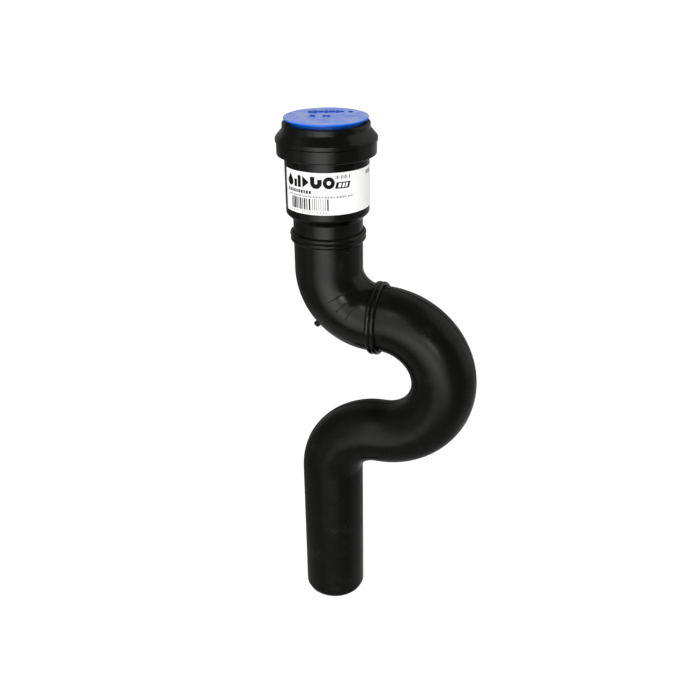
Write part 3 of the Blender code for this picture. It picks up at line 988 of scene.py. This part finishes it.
def printed(name, outlines, material):
    """Flat closed shapes of ink, bent round the label. Each is a convex outline of (along, up)."""
    shape = bmesh.new()
    for outline in outlines:
        corner_points = [shape.verts.new((point[0], point[1], 0)) for point in outline]
        shape.faces.new(corner_points)
    bmesh.ops.remove_doubles(shape, verts=list(shape.verts), dist=0.03)
    widest = max(point[0] for outline in outlines for point in outline)
    narrowest = min(point[0] for outline in outlines for point in outline)
    cut = math.ceil(narrowest)
    while cut < widest:
        geometry = list(shape.verts) + list(shape.edges) + list(shape.faces)
        bmesh.ops.bisect_plane(shape, geom=geometry, plane_co=(cut, 0, 0), plane_no=(1, 0, 0))
        cut += 1
    grown = bmesh.ops.extrude_face_region(shape, geom=list(shape.faces), use_keep_orig=True)
    for item in grown["geom"]:
        if isinstance(item, bmesh.types.BMVert):
            item.co.z = 1
    shape.verts.ensure_lookup_table()
    shape.verts.index_update()
    points = [
        on_label(vert.co.x, vert.co.y, INK_HIGH if vert.co.z > 0.5 else INK_LOW)
        for vert in shape.verts
    ]
    faces = [[vert.index for vert in face.verts] for face in shape.faces]
    shape.free()
    piece = add_piece(name, points, faces, material, 30)
    belongs(piece, "fitting", "label_paper")


def box_of(left, right, low, high, lean=0.0):
    """A four-sided outline that may lean over to the right."""
    return [(left, low), (right, low), (right + lean, high), (left + lean, high)]


def row_of_blocks(left, right, low, high, widths, gap):
    """A row of short blocks that stands in for a line of small print."""
    blocks = []
    place = left
    index = 0
    while place < right:
        width = widths[index % len(widths)]
        if width > 0:
            blocks.append(box_of(place, min(place + width, right), low, high))
        place += abs(width) + gap
        index += 1
    return blocks


def disc(along, up, radius):
    """A round outline."""
    turns = [2 * math.pi * side / DISC_SIDES for side in range(DISC_SIDES)]
    return [(along + radius * math.cos(turn), up + radius * math.sin(turn)) for turn in turns]


def arc_band(along, up, inner, outer, start, finish, steps):
    """A bent band as a row of four-sided outlines."""
    bands = []
    for step in range(steps):
        first = math.radians(start + (finish - start) * step / steps)
        last = math.radians(start + (finish - start) * (step + 1) / steps)
        bands.append([
            (along + inner * math.cos(first), up + inner * math.sin(first)),
            (along + outer * math.cos(first), up + outer * math.sin(first)),
            (along + outer * math.cos(last), up + outer * math.sin(last)),
            (along + inner * math.cos(last), up + inner * math.sin(last)),
        ])
    return bands


# Bold symbols: a drop, two steps, an arrow, a bent pipe and a ring.
SYMBOL_LOW = 18.8
SYMBOL_HIGH = 27.2
SYMBOL_MIDDLE = SYMBOL_LOW + 4.2
black = []
black.append(disc(6.6, SYMBOL_LOW + 3.1, 3.1))
black.append([(3.7, SYMBOL_MIDDLE), (9.5, SYMBOL_MIDDLE), (6.6, SYMBOL_HIGH + 0.6)])
black.append(box_of(10.8, 13.4, SYMBOL_LOW, SYMBOL_LOW + 5.4))
black.append(box_of(14.2, 16.9, SYMBOL_LOW, SYMBOL_HIGH))
black.append([(18.2, SYMBOL_LOW), (23.4, SYMBOL_MIDDLE), (18.2, SYMBOL_HIGH)])
black.append(box_of(24.4, 27.6, SYMBOL_MIDDLE, SYMBOL_HIGH))
black += arc_band(28.6, SYMBOL_MIDDLE, 1.0, 4.2, 180, 360, 12)
black.append(box_of(29.6, 32.8, SYMBOL_MIDDLE, SYMBOL_HIGH - 1.8))
black += arc_band(37.6, SYMBOL_MIDDLE, 1.5, 4.2, 0, 360, 24)
# A line of bold blocks, the bars of the code, and a leaning box with two posts in it.
black += row_of_blocks(3.8, 25.6, 14.8, 17.2, (1.5, 1.2, 1.5), 0.75)
BAR_LOW = 3.2
BAR_HIGH = 11.6
# Each bar is (left edge, width).
BARS = (
    (7.4, 0.5), (8.3, 0.35), (9.1, 0.9), (10.4, 1.3), (12.2, 1.1), (14.2, 0.7), (15.6, 1.3),
    (17.6, 0.6), (19.0, 1.2), (21.0, 0.8), (22.9, 1.2), (25.6, 0.35), (27.0, 0.5), (28.4, 0.35),
    (30.2, 0.35), (31.6, 0.35), (33.2, 0.35), (34.8, 0.35), (36.2, 1.0),
)
for place, width in BARS:
    black.append(box_of(place, place + width, BAR_LOW, BAR_HIGH))
# Each side of the leaning box is (left, right, low, high, lean).
LEANING_BOX = (
    (41.8, 52.0, 18.9, 19.7, 0.3), (42.9, 53.1, 22.7, 23.4, 0.3), (42.1, 44.0, 19.7, 22.7, 0.8),
    (50.8, 52.4, 19.7, 22.7, 0.8), (46.0, 46.9, 19.7, 22.7, 0.8), (48.6, 49.4, 19.7, 22.7, 0.8),
)
black += [box_of(*part) for part in LEANING_BOX]
printed("label_print_black", black, INK)

grey = row_of_blocks(4.6, 55.0, 12.3, 13.5, (0.5, 0.8, 0.35, 0.6, -0.5, 0.9, 0.4, 0.7), 0.45)
grey += row_of_blocks(7.2, 37.0, 1.2, 2.4, (0.5, -0.4, 0.6, -0.5), 0.5)
grey += row_of_blocks(42.4, 53.2, 25.6, 28.0, (0.4, 0.7, 0.4, -0.3, 0.8, 0.4), 0.5)
grey += row_of_blocks(69.6, 77.0, 25.0, 27.8, (0.6, 1.2, 0.5, 0.9), 0.5)
printed("label_print_grey", grey, PALE_INK)

# ---------------------------------------------------------------- floor, light and camera

FLOOR_HALF = 6.0
floor_mesh = bpy.data.meshes.new("floor")
floor_corners = [
    (side_x * FLOOR_HALF, side_y * FLOOR_HALF, 0)
    for side_x, side_y in ((-1, -1), (1, -1), (1, 1), (-1, 1))
]
floor_mesh.from_pydata(floor_corners, [], [(0, 1, 2, 3)])
floor = bpy.data.objects.new("floor", floor_mesh)
floor.location.z = -0.0002
bpy.context.scene.collection.objects.link(floor)
floor.visible_diffuse = False
floor.visible_glossy = False

floor_material = bpy.data.materials.new("white_studio_sweep")
floor_material.use_nodes = True
floor_tree = floor_material.node_tree
floor_tree.nodes.clear()
glow = add_node(floor_tree, "ShaderNodeEmission", {"Color": (1, 1, 1, 1), "Strength": 0.9})
matt = add_node(floor_tree, "ShaderNodeBsdfDiffuse", {"Color": (0.16, 0.16, 0.16, 1)})
both = add_node(floor_tree, "ShaderNodeAddShader", {0: glow.outputs["Emission"], 1: matt.outputs["BSDF"]})
add_node(floor_tree, "ShaderNodeOutputMaterial", {"Surface": both.outputs["Shader"]})
floor_mesh.materials.append(floor_material)

# What stands round the object and shows in its gloss, in degrees. Azimuth is counted from the
# front, anticlockwise seen from above: (from, to, soft edge before, soft edge after) in azimuth,
# the same in elevation, and strength.
FRONT = -70.0
SURROUNDINGS = (
    ((-47, -8, 26, 6), (-31, 54, 14, 10), 1.9),
    ((-8, 15, 6, 18), (-31, 21, 14, 10), 1.8),
    ((-30, 2, 20, 14), (-21, 2, 10, 10), 1.9),
    ((-82, -44, 26, 14), (-24, 50, 16, 16), 0.3),
    ((-195, -60, 20, 20), (-75, 66, 14, 14), 0.13),
    ((-172, -138, 10, 10), (-12, 48, 12, 12), 0.2),
    ((75, 128, 10, 16), (-10, 56, 12, 10), 0.72),
    ((75, 172, 10, 10), (-50, -10, 12, 12), 0.28),
    ((128, 172, 16, 10), (12, 58, 14, 10), 0.5),
    ((128, 172, 16, 10), (-40, 12, 14, 14), 0.25),
    ((15, 75, 8, 10), (-42, -8, 12, 14), 0.13),
    ((-200, 200, 1, 1), (-100, -42, 1, 14), 0.28),
    ((4, 14, 4, 4), (6, 16, 4, 4), 9.0),
    ((-27, -19, 4, 4), (44, 52, 4, 4), 5.0),
)
AMBIENT = 0.02

world = bpy.data.worlds.new("soft_studio")
bpy.context.scene.world = world
world.use_nodes = True
sky = world.node_tree
sky.nodes.clear()
direction = add_node(sky, "ShaderNodeTexCoord").outputs["Generated"]
upward = add_node(sky, "ShaderNodeSeparateXYZ", {"Vector": direction})
elevation = add_node(sky, "ShaderNodeMath", {0: upward.outputs["Z"]}, operation="ARCSINE").outputs["Value"]
total = AMBIENT
for azimuths, elevations, strength in SURROUNDINGS:
    az_from, az_to, az_soft_from, az_soft_to = azimuths
    el_from, el_to, el_soft_from, el_soft_to = elevations
    middle = (az_from + az_to) / 2
    spun = add_node(
        sky, "ShaderNodeVectorRotate",
        {"Vector": direction, "Angle": -math.radians(FRONT + middle)},
        rotation_type="Z_AXIS",
    )
    flat = add_node(sky, "ShaderNodeSeparateXYZ", {"Vector": spun.outputs["Vector"]})
    azimuth = combined(sky, "ARCTAN2", flat.outputs["Y"], flat.outputs["X"])
    half = (az_to - az_from) / 2
    share = strength
    for source, edge, soft in (
        (azimuth, -half, az_soft_from),
        (azimuth, half, -az_soft_to),
        (elevation, el_from, el_soft_from),
        (elevation, el_to, -el_soft_to),
    ):
        begin = math.radians(edge - soft / 2)
        end = math.radians(edge + soft / 2)
        share = combined(sky, "MULTIPLY", share, mapped(sky, source, begin, end, curve="SMOOTHSTEP"))
    total = combined(sky, "ADD", share, total)
light_path = add_node(sky, "ShaderNodeLightPath")
seen = add_node(
    sky, "ShaderNodeMix",
    {"Factor": light_path.outputs["Is Camera Ray"], "A": total, "B": 1.0},
    data_type="FLOAT",
)
background = add_node(sky, "ShaderNodeBackground", {"Strength": seen.outputs["Result"]})
add_node(sky, "ShaderNodeOutputWorld", {"Surface": background.outputs["Background"]})

# Broad fill lights for the paper and the plug: (name, azimuth, height, strength), in degrees.
# The gloss doesn't show them.
FILLS = (
    ("left_fill", -150.0, 36.0, 1.1),
    ("front_fill", -95.0, 36.0, 1.25),
    ("right_fill", 5.0, 36.0, 2.05),
)
FILL_SPREAD = 24.0
for name, azimuth, height, strength in FILLS:
    lamp = bpy.data.lights.new(name, "SUN")
    lamp.energy = strength
    lamp.angle = math.radians(FILL_SPREAD)
    fill = bpy.data.objects.new(name, lamp)
    fill.rotation_euler = (math.radians(90 - height), 0, math.radians(azimuth + 90))
    fill.visible_glossy = False
    bpy.context.scene.collection.objects.link(fill)

# The camera's place is in metres, and its angles are in degrees.
CAMERA_PLACE = (0.214998, -0.590381, 0.54041)
CAMERA_AZIMUTH = 18.58
CAMERA_TILT = 63.67
CAMERA_ROLL = -0.57

camera_data = bpy.data.cameras.new("camera")
camera_data.lens = 45.66
camera_data.sensor_width = 36.0
camera_data.shift_x = -0.00114
camera_data.shift_y = 0.0007
camera = bpy.data.objects.new("camera", camera_data)
camera.location = CAMERA_PLACE
camera_turn = Matrix.Rotation(math.radians(CAMERA_AZIMUTH), 3, "Z")
camera_turn @= Matrix.Rotation(math.radians(CAMERA_TILT), 3, "X")
camera_turn @= Matrix.Rotation(math.radians(CAMERA_ROLL), 3, "Z")
camera.rotation_euler = camera_turn.to_euler()
bpy.context.scene.collection.objects.link(camera)
bpy.context.scene.camera = camera
bpy.context.scene.view_settings.view_transform = "Standard"
